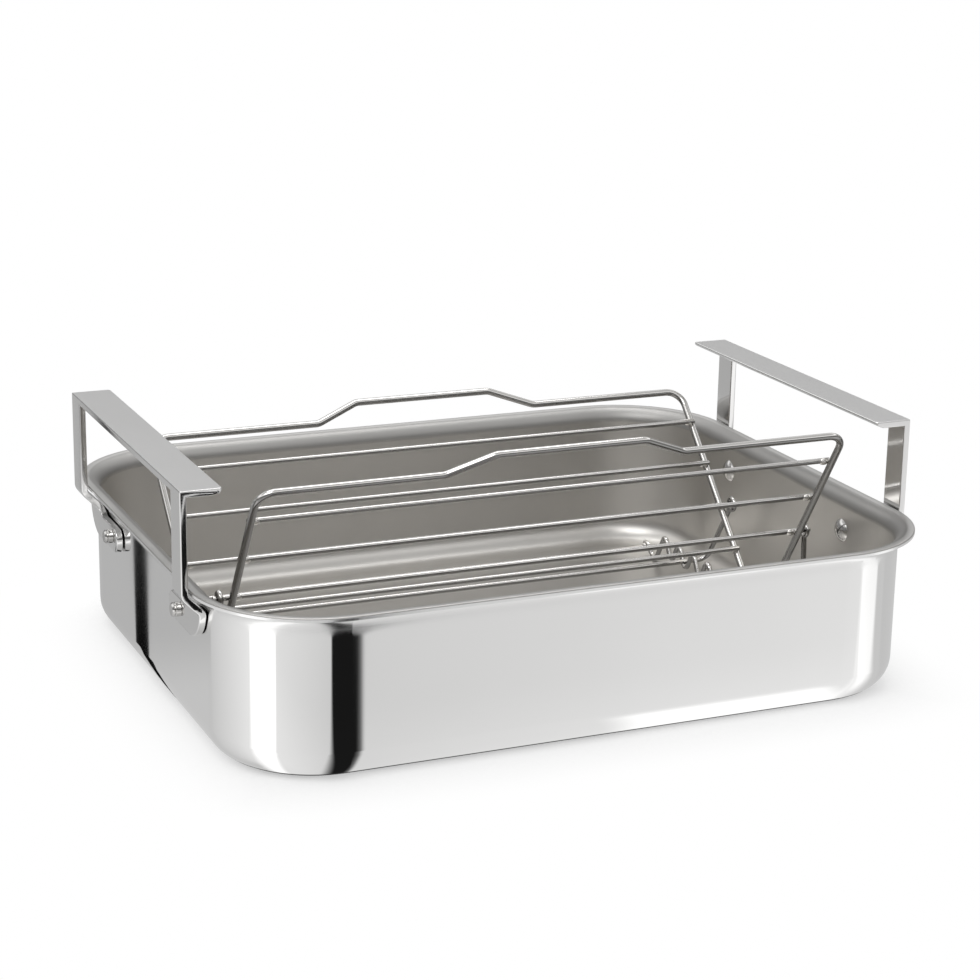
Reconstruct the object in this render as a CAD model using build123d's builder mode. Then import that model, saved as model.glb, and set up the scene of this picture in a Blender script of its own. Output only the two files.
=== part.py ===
from build123d import *
from math import acos, atan, atan2, cos, degrees, radians, sin, sqrt, tan
import os

os.makedirs("parts", exist_ok=True)

# Pan: +X runs along its long side, +Y to the back, z = 0 is the table.
rim_length = 400.0
rim_width = 327.8
pan_height = 88.0
pan_sheet = 2.0
rim_flange = 8.5
rim_corner_radius = 63.3
base_edge_radius = 16.0
rim_roll_radius = 6.5
rim_edge_round = 0.7

# Handles
handle_sheet = 3.6
handle_top = 138.5
handle_centre_y = 2.0
grip_depth = 21.6
grip_length = 208.0
grip_corner_round = 2.0
grip_bevel_run = 6.0
grip_lip = 0.7
leg_width = 16.0
leg_rim_gap = 1.0
joggle_drop = 0.6
joggle_angle = 45.0
joggle_bend_radius = 3.0
ear_wall_gap = 0.5
ear_bottom = 59.5
ear_height = 13.5
ear_length = 54.0
ear_end_radius = 6.0
ear_corner_radius = 18.6
ear_bend_radius = 10.0

# Rivets: one through each ear and the pan wall
rivet_spacing = 130.0
rivet_height = 66.0
rivet_shank_radius = 3.0
rivet_hole_clearance = 0.05
rivet_dome_radius = 6.5
rivet_dome_rise = 3.0
dome_share = 0.8
rivet_head_radius = 3.8
rivet_head_length = 3.2
rivet_head_round = 0.8
rivet_groove = 0.5
spacer_radius = 6.0

# Wire sizes of the rack
frame_wire_radius = 2.0
rod_wire_radius = 1.5
base_wire_radius = 1.5
prop_wire_radius = 1.5
weld_sink = 0.2

# Rack as a whole: it lies a little off the pan's middle, on the pan's floor.
rack_centre_x = 2.3
rack_centre_y = -13.0
floor_gap = 0.3

# Wings: two wire frames hinged side by side low in the middle of the rack
pivot_spacing = 8.4
pivot_height = 6.9
wing_side_gap = 23.7
wing_length = 146.5
wing_top_radius = 10.0
wing_foot_radius = 5.0
bump_height = 11.7
bump_foot_half = 67.3
bump_top_half = 41.6
bump_bend_radius = 8.0
rod_pitch = 29.1
rod_count = 4
first_rod_distance = 35.9
stub_rod = 2
rod_overhang = 0.5
rod_end_round = 0.4
stub_reach = 9.5

# Props: a wire bail on the stubs of each wing, its crossbar in a notch
prop_length = 50.9
prop_side_gap = 2.5
prop_corner_radius = 6.0
eye_wire_radius = 1.35
eye_clearance = 0.5

# Base frame: two notched end wires, joined by two long wires that lie on them
notched_wire_inset = 8.3
first_notch = 38.9
notch_pitch = 18.2
notch_count = 4
notch_flank_angle = 60.0
notch_seat_gap = 0.3
crossbar_height = 13.0
front_notch = 0
back_notch = 2
bridge_height = 11.2
bridge_half = 14.0
bridge_bend_radius = 5.0
foot_flat = 5.5
foot_bend_radius = 4.0
long_wire_place = 127.0
long_wire_height = 6.6
long_wire_overhang = 3.0
wire_end_reach = 2.2
hinge_eye_radius = 1.25
hinge_eye_clearance = 0.1
hinge_eye_offset = 1.35

# What follows from the pan's sizes
wall_length = rim_length - 2 * rim_flange
wall_width = rim_width - 2 * rim_flange
wall_corner_radius = rim_corner_radius - rim_flange
wall_inner_x = wall_length / 2 - pan_sheet

# What follows from the handles' and rivets' sizes
ear_inner_x = wall_length / 2 + ear_wall_gap
ear_outer_x = ear_inner_x + handle_sheet
leg_inner_x = rim_length / 2 + leg_rim_gap
leg_outer_x = leg_inner_x + handle_sheet
grip_tip_x = leg_outer_x - grip_depth
grip_bottom = handle_top - handle_sheet
ear_top = ear_bottom + ear_height
rivet_places = [
    (handle_centre_y - rivet_spacing / 2, rivet_height),
    (handle_centre_y + rivet_spacing / 2, rivet_height),
]

# What follows from the rack's sizes, its width from the pan's inside
wing_half_width = wall_inner_x - wing_side_gap
stub_place = first_rod_distance + (stub_rod - 1) * rod_pitch
rod_offset = frame_wire_radius + rod_wire_radius - weld_sink
stub_radius = sqrt(stub_place**2 + rod_offset**2)
stub_lead_angle = degrees(atan(rod_offset / stub_place))
prop_half_width = wing_half_width + frame_wire_radius + prop_side_gap + prop_wire_radius
eye_ring_radius = rod_wire_radius + eye_clearance + eye_wire_radius
notch_seat_radius = base_wire_radius + prop_wire_radius
notch_rise = notch_pitch / 2 * tan(radians(notch_flank_angle))
bend_loss_share = 1 / cos(radians(notch_flank_angle)) - 1
notch_vertex_height = (
    crossbar_height
    - notch_seat_radius
    - notch_seat_gap / cos(radians(notch_flank_angle))
    - notch_seat_radius * bend_loss_share
)
crest_vertex_height = notch_vertex_height + notch_rise
foot_height = pan_sheet + floor_gap + base_wire_radius
notched_wire_x = wing_half_width - notched_wire_inset
last_crest = first_notch + (notch_count - 1 / 2) * notch_pitch
foot_start = last_crest + (crest_vertex_height - foot_height) / tan(radians(notch_flank_angle))
wire_lap = 2 * base_wire_radius - weld_sink
hinge_ring_radius = frame_wire_radius + hinge_eye_clearance + hinge_eye_radius


def notch_place(index):
    """Distance of one notch from the rack's middle."""
    return first_notch + index * notch_pitch


def wing_angle(notch):
    """Slope of a wing whose prop stands in the given notch, from the triangle
    of pivot, stub and crossbar."""
    run = notch_place(notch) - pivot_spacing / 2
    rise = crossbar_height - pivot_height
    reach = sqrt(run**2 + rise**2)
    cosine = (stub_radius**2 + reach**2 - prop_length**2) / (2 * stub_radius * reach)
    return degrees(atan2(rise, run)) + degrees(acos(cosine)) - stub_lead_angle


def wing_plane(side, notch):
    """Plane of a wing: x along the hinge, y up the wing, z to its upper face."""
    angle = radians(wing_angle(notch))
    origin = (rack_centre_x, rack_centre_y + side * pivot_spacing / 2, pivot_height)
    return Plane(origin=origin, x_dir=(side, 0, 0), z_dir=(0, -side * sin(angle), cos(angle)))


def stub_centre(side, notch):
    """Point on the axis of a wing's stubs, in the middle of the rack."""
    return wing_plane(side, notch).from_local_coords(Vector(0, stub_place, rod_offset))


def crossbar_centre(side, notch):
    """Middle of the crossbar of the prop that stands in the given notch."""
    return Vector(rack_centre_x, rack_centre_y + side * notch_place(notch), crossbar_height)


def save(piece, label):
    """Name one finished piece and write it."""
    piece.part.label = label
    export_step(piece.part, "parts/" + label + ".step")


# Pan body: one drawn sheet with a flat rolled rim
with BuildPart() as pan_cavity:
    with BuildSketch(Plane.XY.offset(pan_sheet)):
        RectangleRounded(
            wall_length - 2 * pan_sheet,
            wall_width - 2 * pan_sheet,
            wall_corner_radius - pan_sheet,
        )
    extrude(amount=pan_height)
    fillet(pan_cavity.faces().sort_by(Axis.Z)[0].edges(), base_edge_radius - pan_sheet)

with BuildPart() as pan_body:
    with BuildSketch():
        RectangleRounded(wall_length, wall_width, wall_corner_radius)
    extrude(amount=pan_height - pan_sheet)
    fillet(pan_body.faces().sort_by(Axis.Z)[0].edges(), base_edge_radius)
    with BuildSketch(Plane.XY.offset(pan_height - pan_sheet)):
        RectangleRounded(rim_length, rim_width, rim_corner_radius)
    extrude(amount=pan_sheet)
    add(pan_cavity.part, mode=Mode.SUBTRACT)
    rim_underside = pan_body.faces().filter_by(Axis.Z).sort_by(Axis.Z)[-2]
    fillet(rim_underside.inner_wires()[0].edges(), rim_roll_radius)
    rim_top = pan_body.faces().filter_by(Axis.Z).sort_by(Axis.Z)[-1]
    fillet(rim_top.inner_wires()[0].edges(), rim_roll_radius + pan_sheet)
    rim_top = pan_body.faces().filter_by(Axis.Z).sort_by(Axis.Z)[-1]
    fillet(rim_top.outer_wire().edges(), rim_edge_round)
    with BuildSketch(Plane.YZ):
        with Locations(*rivet_places):
            Circle(rivet_shank_radius + rivet_hole_clearance)
    extrude(amount=rim_length / 2, both=True, mode=Mode.SUBTRACT)
save(pan_body, "pan_body")


# Grip of a handle: a flat bar along Y with its lower inner edge rounded off
handle_plane = Plane.XZ.offset(-handle_centre_y)
with BuildPart() as grip:
    with BuildSketch(handle_plane):
        with BuildLine():
            Polyline(
                (grip_tip_x + grip_bevel_run, grip_bottom),
                (leg_outer_x, grip_bottom),
                (leg_outer_x, handle_top),
                (grip_tip_x, handle_top),
                (grip_tip_x, handle_top - grip_lip),
            )
            TangentArc(
                (grip_tip_x + grip_bevel_run, grip_bottom),
                (grip_tip_x, handle_top - grip_lip),
                tangent=(-1, 0),
            )
        make_face()
    extrude(amount=grip_length / 2, both=True)
    with BuildSketch():
        with Locations((leg_outer_x - grip_depth / 2 + grip_corner_round, handle_centre_y)):
            RectangleRounded(grip_depth + 2 * grip_corner_round, grip_length, grip_corner_round)
    extrude(amount=handle_top, mode=Mode.INTERSECT)

# Legs and ears: bent strip, each leg stepping in under the rim to a flat ear
step_top = pan_height - pan_sheet - joggle_drop
step_bottom = step_top - (leg_inner_x - ear_inner_x) / tan(radians(joggle_angle))
joggle_mitre = handle_sheet * tan(radians(joggle_angle / 2))
joggle_outer_radius = joggle_bend_radius + handle_sheet
with BuildPart() as right_handle:
    with BuildSketch(handle_plane):
        with BuildLine():
            FilletPolyline(
                (leg_inner_x, grip_bottom),
                (leg_inner_x, step_top),
                (ear_inner_x, step_bottom),
                (ear_inner_x, ear_bottom),
                (ear_outer_x, ear_bottom),
                (ear_outer_x, step_bottom - joggle_mitre),
                (leg_outer_x, step_top - joggle_mitre),
                (leg_outer_x, grip_bottom),
                radius=(
                    0,
                    joggle_bend_radius,
                    joggle_outer_radius,
                    0,
                    0,
                    joggle_bend_radius,
                    joggle_outer_radius,
                    0,
                ),
                close=True,
            )
        make_face()
    extrude(amount=grip_length / 2, both=True)
    with BuildSketch(Plane.YZ):
        for end in (-1, 1):
            leg_edge = handle_centre_y + end * grip_length / 2
            with BuildLine():
                FilletPolyline(
                    (leg_edge, handle_top),
                    (leg_edge, ear_bottom),
                    (leg_edge - end * ear_length, ear_bottom),
                    (leg_edge - end * ear_length, ear_top),
                    (leg_edge - end * leg_width, ear_top),
                    (leg_edge - end * leg_width, handle_top),
                    radius=(
                        0,
                        ear_corner_radius,
                        ear_end_radius,
                        ear_end_radius,
                        ear_bend_radius,
                        0,
                    ),
                    close=True,
                )
            make_face()
    extrude(amount=rim_length, mode=Mode.INTERSECT)
    add(grip.part)
    with BuildSketch(Plane.YZ.offset(wall_length / 2)):
        with Locations(*rivet_places):
            Circle(spacer_radius)
    extrude(amount=ear_wall_gap)
    with BuildSketch(Plane.YZ):
        with Locations(*rivet_places):
            Circle(rivet_shank_radius + rivet_hole_clearance)
    extrude(amount=rim_length, mode=Mode.SUBTRACT)
save(right_handle, "right_handle")

with BuildPart() as left_handle:
    mirror(right_handle.part, about=Plane.YZ)
save(left_handle, "left_handle")

# Rivets: a domed head inside the pan, a short grooved barrel head outside the ear
barrel_half = rivet_head_length / 2
barrel_end_x = ear_outer_x + rivet_head_length
with BuildPart() as rivet:
    with BuildSketch(Plane.XZ):
        with BuildLine():
            Polyline(
                (wall_inner_x, rivet_dome_radius),
                (wall_inner_x, rivet_shank_radius),
                (ear_outer_x, rivet_shank_radius),
                (ear_outer_x, rivet_head_radius),
                (ear_outer_x + barrel_half - rivet_groove, rivet_head_radius),
                (ear_outer_x + barrel_half, rivet_head_radius - rivet_groove),
                (ear_outer_x + barrel_half + rivet_groove, rivet_head_radius),
                (barrel_end_x - rivet_head_round, rivet_head_radius),
                (barrel_end_x, rivet_head_radius - rivet_head_round),
                (barrel_end_x, 0),
                (wall_inner_x - rivet_dome_rise, 0),
            )
            ThreePointArc(
                (wall_inner_x - rivet_dome_rise, 0),
                (wall_inner_x - dome_share * rivet_dome_rise, rivet_dome_radius / 2),
                (wall_inner_x, rivet_dome_radius),
            )
        make_face()
    revolve(axis=Axis.X)

with BuildPart() as right_rivets:
    with Locations(*[(0, place, height) for place, height in rivet_places]):
        add(rivet.part)
save(right_rivets, "right_rivets")

with BuildPart() as left_rivets:
    mirror(right_rivets.part, about=Plane.YZ)
save(left_rivets, "left_rivets")


def make_wing_frame(side, notch):
    """Closed wire loop of a wing, with a lifting bump in its top wire."""
    plane = wing_plane(side, notch)
    with BuildPart() as wing_frame:
        with BuildLine(plane):
            path = FilletPolyline(
                (-wing_half_width, 0),
                (wing_half_width, 0),
                (wing_half_width, wing_length),
                (bump_foot_half, wing_length),
                (bump_top_half, wing_length + bump_height),
                (-bump_top_half, wing_length + bump_height),
                (-bump_foot_half, wing_length),
                (-wing_half_width, wing_length),
                radius=(
                    wing_foot_radius,
                    wing_foot_radius,
                    wing_top_radius,
                    bump_bend_radius,
                    bump_bend_radius,
                    bump_bend_radius,
                    bump_bend_radius,
                    wing_top_radius,
                ),
                close=True,
            )
        with BuildSketch(Plane(origin=path @ 0, z_dir=path % 0)):
            Circle(frame_wire_radius)
        sweep(path=path)
    return wing_frame


def make_rod(side, notch, index):
    """Straight rod across the upper face of a wing; one rod runs on as stubs."""
    reach = stub_reach if index == stub_rod - 1 else rod_overhang
    half_length = wing_half_width + reach
    place = (0, first_rod_distance + index * rod_pitch, rod_offset)
    plane = wing_plane(side, notch)
    start = plane.from_local_coords(Vector(place)) - plane.x_dir * half_length
    with BuildPart() as rod:
        with BuildSketch(Plane(origin=start, z_dir=plane.x_dir)):
            Circle(rod_wire_radius)
        extrude(amount=2 * half_length)
        fillet(rod.edges().filter_by(GeomType.CIRCLE), rod_end_round)
    return rod


def make_prop(side, notch):
    """Wire bail of a wing: an eye round each stub, two arms and a crossbar."""
    centre = stub_centre(side, notch)
    reach = (crossbar_centre(side, notch) - centre).normalized()
    plane = Plane(origin=centre, x_dir=(1, 0, 0), z_dir=Vector(1, 0, 0).cross(reach))
    with BuildPart() as prop:
        with BuildLine(plane):
            path = FilletPolyline(
                (-prop_half_width, eye_ring_radius),
                (-prop_half_width, prop_length),
                (prop_half_width, prop_length),
                (prop_half_width, eye_ring_radius),
                radius=prop_corner_radius,
            )
        with BuildSketch(Plane(origin=path @ 0, z_dir=path % 0)):
            Circle(prop_wire_radius)
        sweep(path=path)
        for end in (-1, 1):
            eye_centre = centre + Vector(end * prop_half_width, 0, 0)
            with Locations(Plane(origin=eye_centre, z_dir=(1, 0, 0))):
                Torus(eye_ring_radius, eye_wire_radius)
    return prop


for name, side, notch in (("front", -1, front_notch), ("back", 1, back_notch)):
    save(make_wing_frame(side, notch), name + "_wing_frame")
    for index in range(rod_count):
        save(make_rod(side, notch, index), name + "_wing_rod_" + str(index + 1))
    save(make_prop(side, notch), name + "_prop")


def notched_wire_points():
    """Corners of a notched wire from its middle to its end, with their bends."""
    points = [(bridge_half, bridge_height), (first_notch - notch_pitch / 2, crest_vertex_height)]
    bends = [bridge_bend_radius, notch_seat_radius]
    for index in range(notch_count):
        points.append((notch_place(index), notch_vertex_height))
        points.append((notch_place(index) + notch_pitch / 2, crest_vertex_height))
        bends += [notch_seat_radius, notch_seat_radius]
    points.append((foot_start, foot_height))
    points.append((foot_start + foot_flat, foot_height))
    points.append((long_wire_place - wire_end_reach, long_wire_height + wire_lap))
    points.append((long_wire_place + wire_end_reach, long_wire_height + wire_lap))
    bends += [foot_bend_radius, foot_bend_radius, foot_bend_radius]
    return points, bends


def make_notched_wire(side):
    """One end wire of the base frame, with an eye round each wing's foot wire."""
    points, bends = notched_wire_points()
    mirrored = [(-place, height) for place, height in reversed(points)]
    centre_x = rack_centre_x + side * notched_wire_x
    plane = Plane(origin=(centre_x, rack_centre_y, 0), x_dir=(0, 1, 0), z_dir=(1, 0, 0))
    with BuildPart() as notched_wire:
        with BuildLine(plane):
            path = FilletPolyline(*mirrored, *points, radius=bends[::-1] + bends)
        with BuildSketch(Plane(origin=path @ 0, z_dir=path % 0)):
            Circle(base_wire_radius)
        sweep(path=path)
        for end in (-1, 1):
            eye_x = centre_x + end * hinge_eye_offset
            eye_y = rack_centre_y + end * pivot_spacing / 2
            with Locations(Plane(origin=(eye_x, eye_y, pivot_height), z_dir=(1, 0, 0))):
                Torus(hinge_ring_radius, hinge_eye_radius)
    return notched_wire


def make_long_wire(side):
    """Long wire of the base frame, under the ends of the notched wires."""
    half_length = notched_wire_x + long_wire_overhang
    start = (rack_centre_x - half_length, rack_centre_y + side * long_wire_place, long_wire_height)
    with BuildPart() as long_wire:
        with BuildSketch(Plane(origin=start, z_dir=(1, 0, 0))):
            Circle(base_wire_radius)
        extrude(amount=2 * half_length)
        fillet(long_wire.edges().filter_by(GeomType.CIRCLE), rod_end_round)
    return long_wire


save(make_notched_wire(-1), "left_notched_wire")
save(make_notched_wire(1), "right_notched_wire")
save(make_long_wire(-1), "front_base_wire")
save(make_long_wire(1), "back_base_wire")
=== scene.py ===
import math

import bmesh
import bpy
from mathutils import Matrix, Vector


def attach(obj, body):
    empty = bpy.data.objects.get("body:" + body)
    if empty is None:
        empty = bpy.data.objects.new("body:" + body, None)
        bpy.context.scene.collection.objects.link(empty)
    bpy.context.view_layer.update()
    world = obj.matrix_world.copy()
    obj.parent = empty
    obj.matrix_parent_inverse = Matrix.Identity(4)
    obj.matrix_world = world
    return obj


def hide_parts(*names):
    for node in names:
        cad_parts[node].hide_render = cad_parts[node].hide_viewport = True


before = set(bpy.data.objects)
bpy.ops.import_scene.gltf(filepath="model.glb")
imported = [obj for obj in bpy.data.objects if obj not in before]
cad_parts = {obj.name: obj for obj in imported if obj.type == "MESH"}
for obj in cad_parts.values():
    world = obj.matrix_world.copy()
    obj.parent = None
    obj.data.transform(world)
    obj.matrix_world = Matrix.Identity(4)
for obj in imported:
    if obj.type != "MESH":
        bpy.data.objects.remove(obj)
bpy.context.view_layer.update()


# Camera: the photograph's own, worked out from the pan's edges
CAMERA_PLACE = (-0.513165, -1.169174, 0.462855)
CAMERA_YAW = 0.417
CAMERA_PITCH = 0.283
CAMERA_ROLL = 0.019
CAMERA_FOCAL_PX = 2414.9
CAMERA_CENTRE_PX = (495.33, 489.45)
CAMERA_CLIP_END = 20.0
PICTURE_PX = 980
SENSOR_MM = 36.0


def add_camera():
    yaw, pitch, roll = CAMERA_YAW, CAMERA_PITCH, CAMERA_ROLL
    forward = Vector((
        math.sin(yaw) * math.cos(pitch),
        math.cos(yaw) * math.cos(pitch),
        -math.sin(pitch),
    ))
    level = Vector((math.cos(yaw), -math.sin(yaw), 0.0))
    upright = level.cross(forward)
    right = level * math.cos(roll) + upright * math.sin(roll)
    up = upright * math.cos(roll) - level * math.sin(roll)
    data = bpy.data.cameras.new("photo_camera")
    data.sensor_width = SENSOR_MM
    data.lens = CAMERA_FOCAL_PX / PICTURE_PX * SENSOR_MM
    data.shift_x = (PICTURE_PX / 2 - CAMERA_CENTRE_PX[0]) / PICTURE_PX
    data.shift_y = (CAMERA_CENTRE_PX[1] - PICTURE_PX / 2) / PICTURE_PX
    data.clip_end = CAMERA_CLIP_END
    camera = bpy.data.objects.new("photo_camera", data)
    turn = Matrix((right, up, -forward)).transposed().to_4x4()
    camera.matrix_world = Matrix.Translation(CAMERA_PLACE) @ turn
    bpy.context.scene.collection.objects.link(camera)
    bpy.context.scene.camera = camera


# Sockets of a Mix node: share, first, second, and the result
FLOAT_MIX = (0, 2, 3, 0)
COLOUR_MIX = (0, 6, 7, 2)


class Nodes:
    """Short ways to add and join shader nodes."""

    def __init__(self, tree):
        self.tree = tree
        tree.nodes.clear()

    def put(self, kind, **settings):
        node = self.tree.nodes.new(kind)
        for key, value in settings.items():
            setattr(node, key, value)
        return node

    def feed(self, socket, value):
        """Join a socket to another node's output, or set its constant."""
        if isinstance(value, bpy.types.NodeSocket):
            self.tree.links.new(value, socket)
        else:
            socket.default_value = value

    def place(self):
        return self.put("ShaderNodeTexCoord").outputs["Object"]

    def normal(self):
        return self.put("ShaderNodeNewGeometry").outputs["Normal"]

    def split(self, vector):
        node = self.put("ShaderNodeSeparateXYZ")
        self.feed(node.inputs[0], vector)
        return node.outputs

    def math(self, operation, a, b=0.0, clamp=False):
        node = self.put("ShaderNodeMath", operation=operation, use_clamp=clamp)
        self.feed(node.inputs[0], a)
        self.feed(node.inputs[1], b)
        return node.outputs[0]

    def product(self, first, *others):
        for other in others:
            first = self.math("MULTIPLY", first, other)
        return first

    def span(self, value, ends, results=(0.0, 1.0)):
        """A smooth step from the first result to the second between two ends."""
        node = self.put("ShaderNodeMapRange", clamp=True)
        node.interpolation_type = "SMOOTHSTEP"
        for index, entry in enumerate((value, *ends, *results)):
            self.feed(node.inputs[index], entry)
        return node.outputs[0]

    def mixed(self, data_type, sockets, values):
        node = self.put("ShaderNodeMix", data_type=data_type)
        for index, value in zip(sockets, values):
            self.feed(node.inputs[index], value)
        return node.outputs[sockets[-1]]

    def mix(self, share, a, b):
        """Two colours by a share."""
        return self.mixed("RGBA", COLOUR_MIX, (share, a, b))

    def blend(self, share, a, b):
        """Two values by a share."""
        return self.mixed("FLOAT", FLOAT_MIX, (share, a, b))

    def noise(self, vector, kind):
        """Noise of a kind: its scale (per metre), detail and roughness."""
        node = self.put("ShaderNodeTexNoise")
        self.feed(node.inputs["Vector"], vector)
        for name, value in zip(("Scale", "Detail", "Roughness"), kind):
            node.inputs[name].default_value = value
        return node.outputs[0]

    def stretched(self, vector, scale):
        node = self.put("ShaderNodeMapping")
        self.feed(node.inputs["Vector"], vector)
        node.inputs["Scale"].default_value = scale
        return node.outputs[0]

    def bump(self, height, distance, strength):
        node = self.put("ShaderNodeBump")
        node.inputs["Strength"].default_value = strength
        node.inputs["Distance"].default_value = distance
        self.feed(node.inputs["Height"], height)
        return node.outputs[0]


# Blue that a warm grey loses for each part of red that it gains
BLUE_LOSS = 1.6


def grey(level, warm=0.0):
    """A linear grey, a little warm."""
    return (level * (1 + warm), level, level * (1 - BLUE_LOSS * warm), 1.0)


def metal(name, build):
    """A steel material; build gives its colour, roughness and normal."""
    material = bpy.data.materials.new(name)
    material.use_nodes = True
    nodes = Nodes(material.node_tree)
    colour, roughness, normal = build(nodes)
    shader = nodes.put("ShaderNodeBsdfPrincipled")
    shader.inputs["Metallic"].default_value = 1.0
    nodes.feed(shader.inputs["Base Color"], colour)
    nodes.feed(shader.inputs["Roughness"], roughness)
    nodes.feed(shader.inputs["Normal"], normal)
    output = nodes.put("ShaderNodeOutputMaterial")
    nodes.feed(output.inputs["Surface"], shader.outputs[0])
    return material


# Pan: its regions, by height (m) and by how far the surface faces up or in
PAN_FACING_IN = (0.004, -0.004)
PAN_FLOOR_FACING = (0.2, 0.45)
PAN_FLOOR_HEIGHT = (0.0835, 0.0800)
RIM_FACING = (0.35, 0.85)
RIM_HEIGHT = (0.081, 0.086)
ROLL_HEIGHT = (0.074, 0.080)
ROLL_STARTS = (0.02, 0.30)
ROLL_ENDS = (0.97, 0.80)
INNER_ROLL_ENDS = (0.995, 0.95)

# Pan: colours and roughness of the regions, and the noises that vary them. Here
# and below a bump is its height (m) and strength.
OUTSIDE_COLOURS = (grey(0.80, 0.004), grey(0.85, 0.004))
INSIDE_COLOURS = (grey(0.59, 0.026), grey(0.68, 0.024))
RIM_COLOURS = (grey(0.58, 0.012), grey(0.66, 0.012))
# Painted shade: the roll and its inner edge get darker greys than the rim, though they are the
# same steel
ROLL_PAINTED_SHADE = grey(0.44, 0.020)
INNER_ROLL_PAINTED_SHADE = grey(0.40, 0.016)
OUTSIDE_ROUGHNESS = (0.030, 0.062)
INSIDE_ROUGHNESS = (0.30, 0.42)
RIM_ROUGHNESS = (0.34, 0.44)
LIP_ROUGHNESS = 0.24
ROLL_ROUGHNESS = 0.50
PAN_CLOUD = (9.0, 3.0, 0.5)
PAN_GRAIN = (1800.0, 2.0, 0.6)
GRAIN_SPREAD = (0.2, 0.8)
RIM_LINES = (1.0, 3.0, 0.65)
RIM_LINE_STRETCH = (30.0, 30.0, 2600.0)
SMEARS = (1.0, 4.0, 0.6)
SMEAR_STRETCH = (14.0, 14.0, 5.0)
SMEAR_SPREAD = (0.3, 0.75)
SATIN_BUMP = (0.00002, 0.6)


def pan_steel(nodes):
    """Mirror polish outside, satin inside, a brushed rim, and painted shade on the roll."""
    place = nodes.place()
    x, y, height = nodes.split(place)
    normal_x, normal_y, facing_up = nodes.split(nodes.normal())
    outward = nodes.math("ADD", nodes.product(x, normal_x), nodes.product(y, normal_y))
    facing_in = nodes.span(outward, PAN_FACING_IN)
    floor = nodes.product(
        nodes.span(facing_up, PAN_FLOOR_FACING),
        nodes.span(height, PAN_FLOOR_HEIGHT),
    )
    inside = nodes.math("MAXIMUM", facing_in, floor)
    rim = nodes.product(nodes.span(facing_up, RIM_FACING), nodes.span(height, RIM_HEIGHT))
    lip = nodes.span(height, ROLL_HEIGHT)
    turned = nodes.product(nodes.span(facing_up, ROLL_STARTS), lip)
    roll = nodes.product(turned, nodes.span(facing_up, ROLL_ENDS))
    inner_roll = nodes.product(turned, nodes.span(facing_up, INNER_ROLL_ENDS), facing_in)

    cloud = nodes.noise(place, PAN_CLOUD)
    grain = nodes.noise(place, PAN_GRAIN)
    lines = nodes.noise(nodes.stretched(place, RIM_LINE_STRETCH), RIM_LINES)
    smears = nodes.noise(nodes.stretched(place, SMEAR_STRETCH), SMEARS)

    colour = nodes.mix(
        inside,
        nodes.mix(cloud, *OUTSIDE_COLOURS),
        nodes.mix(cloud, *INSIDE_COLOURS),
    )
    colour = nodes.mix(rim, colour, nodes.mix(cloud, *RIM_COLOURS))
    # Painted shade on the roll and on its inner edge
    colour = nodes.mix(roll, colour, ROLL_PAINTED_SHADE)
    colour = nodes.mix(inner_roll, colour, INNER_ROLL_PAINTED_SHADE)

    outside_rough = nodes.span(smears, SMEAR_SPREAD, OUTSIDE_ROUGHNESS)
    roughness = nodes.blend(lip, outside_rough, LIP_ROUGHNESS)
    inside_rough = nodes.span(grain, GRAIN_SPREAD, INSIDE_ROUGHNESS)
    roughness = nodes.blend(inside, roughness, inside_rough)
    rim_rough = nodes.span(lines, GRAIN_SPREAD, RIM_ROUGHNESS)
    roughness = nodes.blend(rim, roughness, rim_rough)
    roughness = nodes.blend(roll, roughness, ROLL_ROUGHNESS)

    satin = nodes.product(grain, nodes.math("MAXIMUM", inside, rim))
    return colour, roughness, nodes.bump(satin, *SATIN_BUMP)


# Handles: polished sides, satin where the grip faces up
GRIP_FACING = (0.8, 0.97)
BAR_COLOUR = grey(0.76, 0.006)
GRIP_COLOURS = (grey(0.77, 0.004), grey(0.82, 0.004))
BAR_CLOUD = (16.0, 3.0, 0.5)
BAR_CLOUD_SPREAD = (0.3, 0.7)
BAR_ROUGHNESS = (0.05, 0.10)
GRIP_SPECKS = (1500.0, 2.0, 0.6)
GRIP_SPECK_SPREAD = (0.25, 0.75)
GRIP_ROUGHNESS = (0.32, 0.38)
GRIP_BUMP = (0.000002, 0.5)


def handle_steel(nodes):
    """Polished bar, satin on the grip's top."""
    place = nodes.place()
    facing_up = nodes.split(nodes.normal())[2]
    satin = nodes.span(facing_up, GRIP_FACING)
    cloud = nodes.noise(place, BAR_CLOUD)
    specks = nodes.noise(place, GRIP_SPECKS)
    colour = nodes.mix(satin, BAR_COLOUR, nodes.mix(cloud, *GRIP_COLOURS))
    roughness = nodes.blend(
        satin,
        nodes.span(cloud, BAR_CLOUD_SPREAD, BAR_ROUGHNESS),
        nodes.span(specks, GRIP_SPECK_SPREAD, GRIP_ROUGHNESS),
    )
    return colour, roughness, nodes.bump(nodes.product(specks, satin), *GRIP_BUMP)


# Wire: drawn along its length, with painted shade where it faces down
WIRE_SHADE_FACING = (-0.05, 0.60)
# Painted shade: the grey the wire turns where it faces down
WIRE_PAINTED_SHADE = grey(0.27, 0.014)
WIRE_COLOURS = (grey(0.64, 0.020), grey(0.76, 0.016))
WIRE_CLOUD = (45.0, 3.0, 0.5)
WIRE_MARKS = (1.0, 3.0, 0.6)
WIRE_MARK_STRETCH = (60.0, 600.0, 600.0)
WIRE_MARK_SPREAD = (0.25, 0.75)
WIRE_ROUGHNESS = (0.08, 0.16)
WIRE_BUMP = (0.00001, 0.25)


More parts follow.
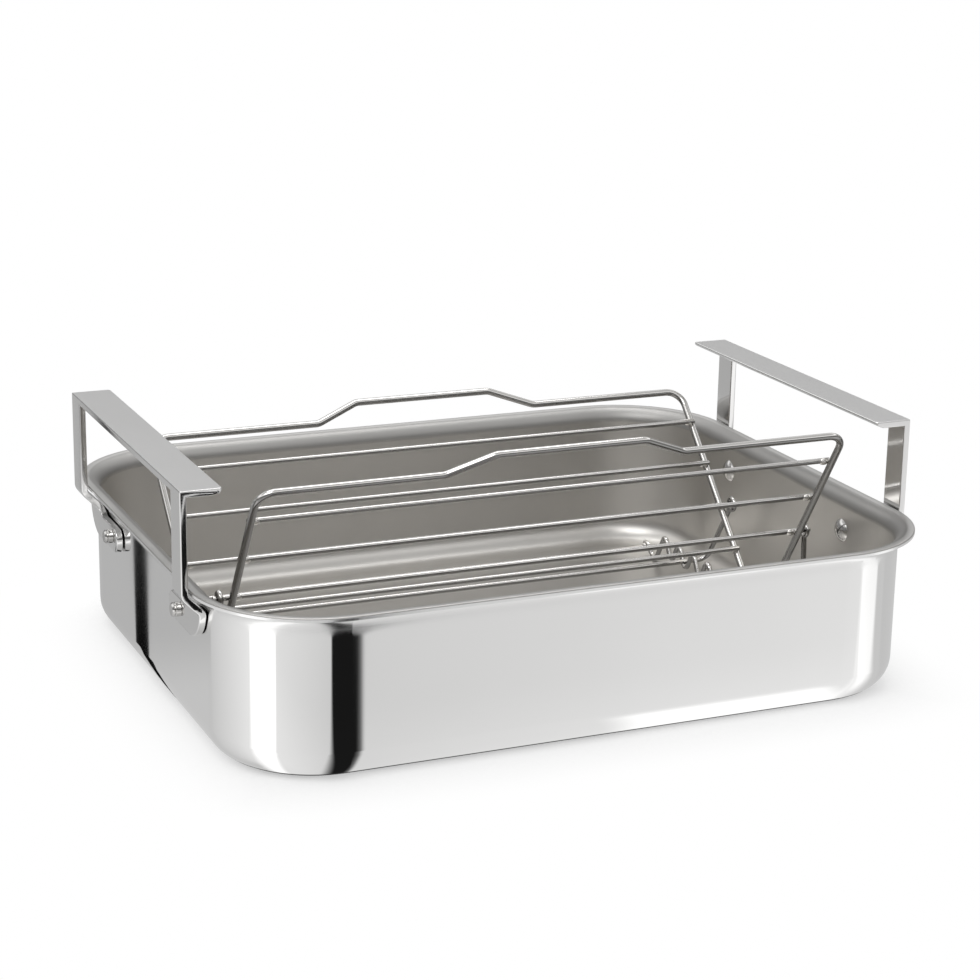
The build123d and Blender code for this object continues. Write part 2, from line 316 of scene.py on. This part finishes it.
def wire_steel(nodes):
    """Bright drawn wire with faint marks and painted shade on its underside."""
    place = nodes.place()
    marks = nodes.noise(nodes.stretched(place, WIRE_MARK_STRETCH), WIRE_MARKS)
    cloud = nodes.noise(place, WIRE_CLOUD)
    # Painted shade: darker where the wire faces down
    facing_up = nodes.span(nodes.split(nodes.normal())[2], WIRE_SHADE_FACING)
    colour = nodes.mix(facing_up, WIRE_PAINTED_SHADE, nodes.mix(cloud, *WIRE_COLOURS))
    roughness = nodes.span(marks, WIRE_MARK_SPREAD, WIRE_ROUGHNESS)
    return colour, roughness, nodes.bump(marks, *WIRE_BUMP)


# Small pieces: polished rivets, and weld beads a little rougher and straw-coloured
SPECKLE_SPREAD = (0.3, 0.7)
RIVET_STEEL = {
    "cloud_kind": (120.0, 2.0, 0.5),
    "colours": (grey(0.56, 0.014), grey(0.66, 0.014)),
    "mark_kind": (700.0, 3.0, 0.6),
    "roughnesses": (0.07, 0.16),
    "bump": (0.00002, 0.4),
}
WELD_STEEL = {
    "cloud_kind": (300.0, 2.0, 0.5),
    "colours": (grey(0.58, 0.03), grey(0.70, 0.02)),
    "mark_kind": (900.0, 3.0, 0.6),
    "roughnesses": (0.14, 0.28),
    "bump": (0.00004, 0.5),
}


def speckled_steel(cloud_kind, colours, mark_kind, roughnesses, bump):
    """A builder of a small piece's steel: clouded colour, speckled gloss."""

    def build(nodes):
        place = nodes.place()
        marks = nodes.noise(place, mark_kind)
        colour = nodes.mix(nodes.noise(place, cloud_kind), *colours)
        roughness = nodes.span(marks, SPECKLE_SPREAD, roughnesses)
        return colour, roughness, nodes.bump(marks, *bump)

    return build


def dress(material, *names):
    """Give CAD nodes their material."""
    for name in names:
        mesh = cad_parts[name].data
        mesh.materials.clear()
        mesh.materials.append(material)


def shaded_piece(name, bm, material):
    """A new smooth-shaded piece from a bmesh, which it frees."""
    mesh = bpy.data.meshes.new(name)
    bm.to_mesh(mesh)
    bm.free()
    mesh.shade_smooth()
    mesh.materials.append(material)
    piece = bpy.data.objects.new(name, mesh)
    bpy.context.scene.collection.objects.link(piece)
    return piece


# Handles: the CAD bar with its edges eased
EDGE_EASE = 0.00062
EASE_STEPS = 3
EASE_PROFILE = 0.5
MERGE_DISTANCE = 1e-7
SHARP_ANGLE = math.radians(50)
SMOOTH_ANGLE = math.radians(35)
FLAT_ANGLE = math.radians(0.6)
QUAD_CORNERS = 4

# Under the lip, and at the rivet holes (y, z), the bar's edges stay as they are
LIP_X = 0.1862
LIP_TOP = 0.1383
RIVET_PLACES = ((-0.063, 0.066), (0.067, 0.066))
RIVET_REACH = 0.0065


def eased(edge):
    """Whether an edge of the bar is eased: not the rivet holes, nor under the lip."""
    if not edge.is_convex or edge.calc_face_angle() < SHARP_ANGLE:
        return False
    ends = [vert.co for vert in edge.verts]
    if all(abs(end.x) < LIP_X and end.z < LIP_TOP for end in ends):
        return False
    return not any(
        all(math.hypot(end.y - y, end.z - z) < RIVET_REACH for end in ends)
        for y, z in RIVET_PLACES
    )


def eased_handle(name, material):
    bm = bmesh.new()
    bm.from_mesh(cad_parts[name].data)
    bmesh.ops.remove_doubles(bm, verts=bm.verts, dist=MERGE_DISTANCE)
    bmesh.ops.dissolve_limit(bm, angle_limit=FLAT_ANGLE, verts=bm.verts, edges=bm.edges)
    bmesh.ops.bevel(
        bm,
        geom=[edge for edge in bm.edges if eased(edge)],
        offset=EDGE_EASE,
        segments=EASE_STEPS,
        profile=EASE_PROFILE,
        affect="EDGES",
        clamp_overlap=False,
        offset_type="OFFSET",
        miter_outer="SHARP",
    )
    wide_faces = [face for face in bm.faces if len(face.verts) > QUAD_CORNERS]
    bmesh.ops.triangulate(bm, faces=wide_faces)
    piece = shaded_piece(name + "_bar", bm, material)
    piece.data.set_sharp_from_angle(angle=SMOOTH_ANGLE)
    piece.modifiers.new("even_shading", "WEIGHTED_NORMAL").keep_sharp = True
    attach(piece, "pan")
    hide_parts(name)


# Weld beads where a wire crosses the wire that carries it, placed as in the CAD
RACK_CENTRE = Vector((0.0023, -0.0130, 0.0))
PIVOT_HALF_SPACING = 0.0042
PIVOT_HEIGHT = 0.0069
WING_HALF_WIDTH = 0.1658
WING_ANGLES = {"front": 58.06, "back": 45.50}
ROD_PLACES = (0.0359, 0.0650, 0.0941, 0.1232)
BASE_CROSSING = Vector((0.1575, 0.1270, 0.0080))
BEAD_RISE = 0.0027
BEAD_INSET = 0.0032
BEAD_HALF_SIZES = (0.0030, 0.0021, 0.0018)
BEAD_SUBDIVISIONS = 3
ENDS = (-1, 1)
ACROSS = Vector((1, 0, 0))


def bead_piece(name, frames, material):
    """One piece of small rounded beads, each on a frame of three axes and a place."""
    bm = bmesh.new()
    for across, along, normal, place in frames:
        ball = bmesh.ops.create_icosphere(bm, subdivisions=BEAD_SUBDIVISIONS, radius=1.0)
        for vert in ball["verts"]:
            sizes = [part * half for part, half in zip(vert.co, BEAD_HALF_SIZES)]
            vert.co = place + across * sizes[0] + along * sizes[1] + normal * sizes[2]
    bmesh.ops.recalc_face_normals(bm, faces=bm.faces)
    piece = shaded_piece(name, bm, material)
    return piece


def wing_welds(name, side, material):
    """Beads at both ends of a wing's cross rods."""
    angle = math.radians(WING_ANGLES[name])
    along = Vector((0, side * math.cos(angle), math.sin(angle)))
    normal = Vector((0, -side * math.sin(angle), math.cos(angle)))
    pivot = RACK_CENTRE + Vector((0, side * PIVOT_HALF_SPACING, PIVOT_HEIGHT))
    reach = WING_HALF_WIDTH - BEAD_INSET
    frames = [
        (ACROSS, along, normal, pivot + ACROSS * end * reach + along * place + normal * BEAD_RISE)
        for place in ROD_PLACES
        for end in ENDS
    ]
    piece = bead_piece(name + "_wing_welds", frames, material)
    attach(piece, name + "_wing")


def base_welds(material):
    """Beads where the long base wires cross the notched wires."""
    axes = (ACROSS, Vector((0, 1, 0)), Vector((0, 0, 1)))
    frames = [
        (*axes, RACK_CENTRE + Vector((x * BASE_CROSSING.x, y * BASE_CROSSING.y, BASE_CROSSING.z)))
        for x in ENDS
        for y in ENDS
    ]
    piece = bead_piece("base_welds", frames, material)
    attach(piece, "rack_base")


# Stage: a white floor, a studio seen in the steel, soft lamps
FLOOR_SIZE = 12.0
FLOOR_DROP = 0.0004
FLOOR_WHITE = grey(0.97)

# The pan's shadow shows near its foot and fades out round it
SHADOW_HALF_X = 0.165
SHADOW_HALF_Y = 0.130
SHADOW_FADES = (0.0, 0.07)
SHADOW_LIFTS = (0.45, 1.0)

# Outer wall of the pan at the height of its middle, and its foot
WALL_HALF_X = 0.1915
WALL_HALF_Y = 0.1554
CORNER_X = 0.1367
CORNER_Y = 0.1006
CORNER_R = 0.0548
FOOT_HALF_X = 0.1755
FOOT_HALF_Y = 0.1394
FOOT_CORNER = 0.0388


def corner_edge(side_x, normal_angle, mirror_angle):
    """A line on the floor whose picture stands upright on a front corner."""
    angle = math.radians(normal_angle)
    place = (
        side_x * CORNER_X + CORNER_R * math.cos(angle),
        -CORNER_Y + CORNER_R * math.sin(angle),
    )
    return place, mirror_angle


# Lines on the floor, a place and an angle, between which the panels lie
LEFT, RIGHT = -1, 1
EDGE_LEFT_WALL_END = corner_edge(LEFT, 185, 117)
EDGE_WHITE_LEFT = corner_edge(LEFT, 216.5, 180.8)
EDGE_WHITE_RIGHT = corner_edge(LEFT, 231.5, 211.5)
EDGE_BLACK_LEFT = corner_edge(LEFT, 259.3, 268.6)
EDGE_BLACK_RIGHT = ((-0.131, -WALL_HALF_Y), 290.6)
EDGE_FRONT_END = corner_edge(RIGHT, 279.5, 322.0)
EDGE_GLINT_END = corner_edge(RIGHT, 292.0, 347.5)
EDGE_STRIPE_LEFT = ((-WALL_HALF_X, 0.0318), 104.9)
EDGE_STRIPE_RIGHT = ((-WALL_HALF_X, 0.0068), 105.4)

# Panels seen in the outer wall: side, two edges, brightness at each edge,
# softness (m). The side keeps a panel from running on under the pan.
PANELS = (
    ("any", EDGE_LEFT_WALL_END, EDGE_WHITE_LEFT, 0.64, 0.96, 0.0050),
    ("any", EDGE_WHITE_LEFT, EDGE_WHITE_RIGHT, 1.30, 1.30, 0.0040),
    ("any", EDGE_WHITE_RIGHT, EDGE_BLACK_LEFT, 0.88, 0.70, 0.0026),
    ("any", EDGE_BLACK_LEFT, EDGE_BLACK_RIGHT, 0.010, 0.010, 0.0040),
    ("front", EDGE_BLACK_RIGHT, EDGE_FRONT_END, 0.74, 0.90, 0.0016),
    ("any", EDGE_FRONT_END, EDGE_GLINT_END, 1.24, 1.06, 0.0075),
    ("left", EDGE_STRIPE_LEFT, EDGE_STRIPE_RIGHT, 0.005, 0.005, 0.0003),
)
FRONT_SIDE = (-0.130, -0.137)
LEFT_SIDE = (-0.166, -0.173)
LEAST_WIDTH = 1e-5

# The rest of the floor as the steel sees it, by place (m), with its brightness
FLOOR_Y = (-0.02, 0.10)
FLOOR_LEVELS = (0.62, 0.50)
BASE_GLOW_Y = (-0.178, -0.166)
BASE_GLOW_LEFT = (0.0, 0.03)
BASE_GLOW_RIGHT = (0.15, 0.13)
BASE_GLOW_LEVEL = 1.20
LIFT_FAR_Y = (-0.26, -0.16)
LIFT_NEAR_Y = (-0.137, -0.150)
LIFT = 1.07
FAR_Y = (-0.516, -0.524)
FAR_LEVEL = 0.85
FLAG_NEAR_Y = (-0.546, -0.552)
FLAG_FAR_Y = (-0.66, -0.62)
FLAG_RIGHT = (0.10, 0.04)
FLAG_LEVEL = 0.02
# Painted contact shadow: a dark line round the pan's foot, seen in the steel
FOOT_SHADOW_EDGES = (FOOT_CORNER + 0.0075, FOOT_CORNER + 0.0055)
FOOT_SHADOW_LEVEL = 0.05


def edge_distance(nodes, place_x, place_y, edge):
    """Signed distance on the floor from an edge line, positive to its left."""
    (x, y), angle = edge
    along = (math.cos(math.radians(angle)), math.sin(math.radians(angle)))
    across = nodes.math(
        "SUBTRACT",
        nodes.product(place_y, along[0]),
        nodes.product(place_x, along[1]),
    )
    return nodes.math("SUBTRACT", across, y * along[0] - x * along[1])


def past_foot(nodes, place, half):
    """How far a place lies past the straight part of the pan's foot."""
    past = nodes.math("SUBTRACT", nodes.math("ABSOLUTE", place), half - FOOT_CORNER)
    return nodes.math("MAXIMUM", past, 0.0)


def painted_foot_shadow(nodes, x, y):
    """Share of the painted contact shadow: a dark line where the pan's rounded foot meets the
    floor.
    """
    past_x = past_foot(nodes, x, FOOT_HALF_X)
    past_y = past_foot(nodes, y, FOOT_HALF_Y)
    squares = nodes.math("ADD", nodes.product(past_x, past_x), nodes.product(past_y, past_y))
    return nodes.span(nodes.math("SQRT", squares), FOOT_SHADOW_EDGES)


def studio_pattern(nodes):
    """Brightness of the floor as the polished steel sees it."""
    x, y, _ = nodes.split(nodes.place())
    sides = {"front": nodes.span(y, FRONT_SIDE), "left": nodes.span(x, LEFT_SIDE)}
    level = nodes.blend(nodes.span(y, FLOOR_Y), *FLOOR_LEVELS)
    for side, first, second, low, high, soft in PANELS:
        start = edge_distance(nodes, x, y, first)
        stop = nodes.product(edge_distance(nodes, x, y, second), -1.0)
        inside = nodes.product(*(nodes.span(edge, (-soft, soft)) for edge in (start, stop)))
        if side in sides:
            inside = nodes.product(inside, sides[side])
        width = nodes.math("ADD", nodes.math("ADD", start, stop), LEAST_WIDTH)
        share = nodes.math("DIVIDE", start, width, clamp=True)
        level = nodes.blend(inside, level, nodes.blend(share, low, high))
    glow = nodes.product(
        nodes.span(y, BASE_GLOW_Y),
        nodes.span(x, BASE_GLOW_LEFT),
        nodes.span(x, BASE_GLOW_RIGHT),
    )
    level = nodes.blend(glow, level, BASE_GLOW_LEVEL)
    lifted = nodes.product(nodes.span(y, LIFT_FAR_Y), nodes.span(y, LIFT_NEAR_Y))
    level = nodes.product(level, nodes.blend(lifted, 1.0, LIFT))
    level = nodes.blend(nodes.span(y, FAR_Y), level, FAR_LEVEL)
    flag = nodes.product(
        nodes.span(y, FLAG_NEAR_Y),
        nodes.span(y, FLAG_FAR_Y),
        nodes.span(x, FLAG_RIGHT),
    )
    level = nodes.blend(flag, level, FLAG_LEVEL)
    # Painted contact shadow along the pan's foot
    return nodes.blend(painted_foot_shadow(nodes, x, y), level, FOOT_SHADOW_LEVEL)


def white_share(nodes, ray):
    """Where the camera sees plain white in place of the shaded floor."""
    x, y, _ = nodes.split(nodes.place())
    beyond = nodes.math(
        "MAXIMUM",
        nodes.math("SUBTRACT", nodes.math("ABSOLUTE", x), SHADOW_HALF_X),
        nodes.math("SUBTRACT", nodes.math("ABSOLUTE", y), SHADOW_HALF_Y),
    )
    return nodes.product(nodes.span(beyond, SHADOW_FADES, SHADOW_LIFTS), ray)


def mix_shaders(nodes, share, a, b):
    node = nodes.put("ShaderNodeMixShader")
    for socket, value in zip(node.inputs, (share, a.outputs[0], b.outputs[0])):
        nodes.feed(socket, value)
    return node


def add_floor():
    mesh = bpy.data.meshes.new("studio_floor")
    half = FLOOR_SIZE / 2
    turns = ((-1, -1), (1, -1), (1, 1), (-1, 1))
    corners = [(x * half, y * half, -FLOOR_DROP) for x, y in turns]
    mesh.from_pydata(corners, [], [(0, 1, 2, 3)])
    floor = bpy.data.objects.new("studio_floor", mesh)
    bpy.context.scene.collection.objects.link(floor)
    material = bpy.data.materials.new("studio_floor")
    material.use_nodes = True
    nodes = Nodes(material.node_tree)
    path = nodes.put("ShaderNodeLightPath")
    diffuse = nodes.put("ShaderNodeBsdfDiffuse")
    diffuse.inputs["Color"].default_value = FLOOR_WHITE
    white = nodes.put("ShaderNodeEmission")
    studio = nodes.put("ShaderNodeEmission")
    nodes.feed(studio.inputs["Strength"], studio_pattern(nodes))
    share = white_share(nodes, path.outputs["Is Camera Ray"])
    seen = mix_shaders(nodes, share, diffuse, white)
    whole = mix_shaders(nodes, path.outputs["Is Glossy Ray"], seen, studio)
    output = nodes.put("ShaderNodeOutputMaterial")
    nodes.feed(output.inputs["Surface"], whole.outputs[0])
    mesh.materials.append(material)


# Lamps: name, place, size (m) and power (W)
LAMP_AIM = (0, 0, 0.05)
LAMPS = (
    ("key_lamp", (-0.9, -0.9, 1.6), (1.2, 0.8), 9.0),
    ("top_lamp", (0.1, 0.5, 1.8), (1.6, 0.7), 10.0),
)


def add_lamp(name, place, size, power):
    data = bpy.data.lights.new(name, "AREA")
    data.shape = "RECTANGLE"
    data.size, data.size_y = size
    data.energy = power
    lamp = bpy.data.objects.new(name, data)
    lamp.location = place
    direction = Vector(LAMP_AIM) - Vector(place)
    lamp.rotation_euler = direction.to_track_quat("-Z", "Y").to_euler()
    bpy.context.scene.collection.objects.link(lamp)


# World: as the camera, the diffuse light and the steel see it. To the steel it
# is dim low down, bright in a band halfway up and plain overhead.
WORLD_CAMERA_LEVEL = 1.0
WORLD_DIFFUSE_LEVEL = 0.78
WORLD_FRONT = (0.4, -0.6)
WORLD_LOW_LEVELS = (0.30, 0.22)
BAND_STARTS = (0.36, 0.54)
BAND_LEVEL = 1.28
BAND_ENDS = (0.60, 0.72)
OVERHEAD_LEVEL = 0.60


def set_world():
    """White to the camera, even light for shading, a soft studio in the steel."""
    world = bpy.data.worlds.new("studio")
    world.use_nodes = True
    nodes = Nodes(world.node_tree)
    background = nodes.put("ShaderNodeBackground")
    path = nodes.put("ShaderNodeLightPath")
    direction = nodes.put("ShaderNodeTexCoord").outputs["Generated"]
    _, depth, height = nodes.split(direction)
    level = nodes.blend(nodes.span(depth, WORLD_FRONT), *WORLD_LOW_LEVELS)
    level = nodes.blend(nodes.span(height, BAND_STARTS), level, BAND_LEVEL)
    level = nodes.blend(nodes.span(height, BAND_ENDS), level, OVERHEAD_LEVEL)
    seen = nodes.blend(path.outputs["Is Glossy Ray"], WORLD_DIFFUSE_LEVEL, level)
    seen = nodes.blend(path.outputs["Is Camera Ray"], seen, WORLD_CAMERA_LEVEL)
    nodes.feed(background.inputs["Strength"], seen)
    background.inputs["Color"].default_value = grey(1.0)
    output = nodes.put("ShaderNodeOutputWorld")
    nodes.feed(output.inputs["Surface"], background.outputs[0])
    bpy.context.scene.world = world


pan_material = metal("pan_polished_steel", pan_steel)
handle_material = metal("handle_polished_steel", handle_steel)
wire_material = metal("rack_bright_wire", wire_steel)
rivet_material = metal("rivet_polished_steel", speckled_steel(**RIVET_STEEL))
weld_material = metal("rack_weld_steel", speckled_steel(**WELD_STEEL))

wing_welds("front", -1, weld_material)
wing_welds("back", 1, weld_material)
base_welds(weld_material)

RACK_WORDS = ("wing", "prop", "wire")
rack_nodes = [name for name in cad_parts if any(word in name for word in RACK_WORDS)]
dress(pan_material, "pan_body")
dress(handle_material, "left_handle", "right_handle")
dress(rivet_material, "left_rivets", "right_rivets")
dress(wire_material, *rack_nodes)
eased_handle("left_handle", handle_material)
eased_handle("right_handle", handle_material)

add_camera()
add_floor()
set_world()
for lamp in LAMPS:
    add_lamp(*lamp)
bpy.context.scene.view_settings.view_transform = "Standard"
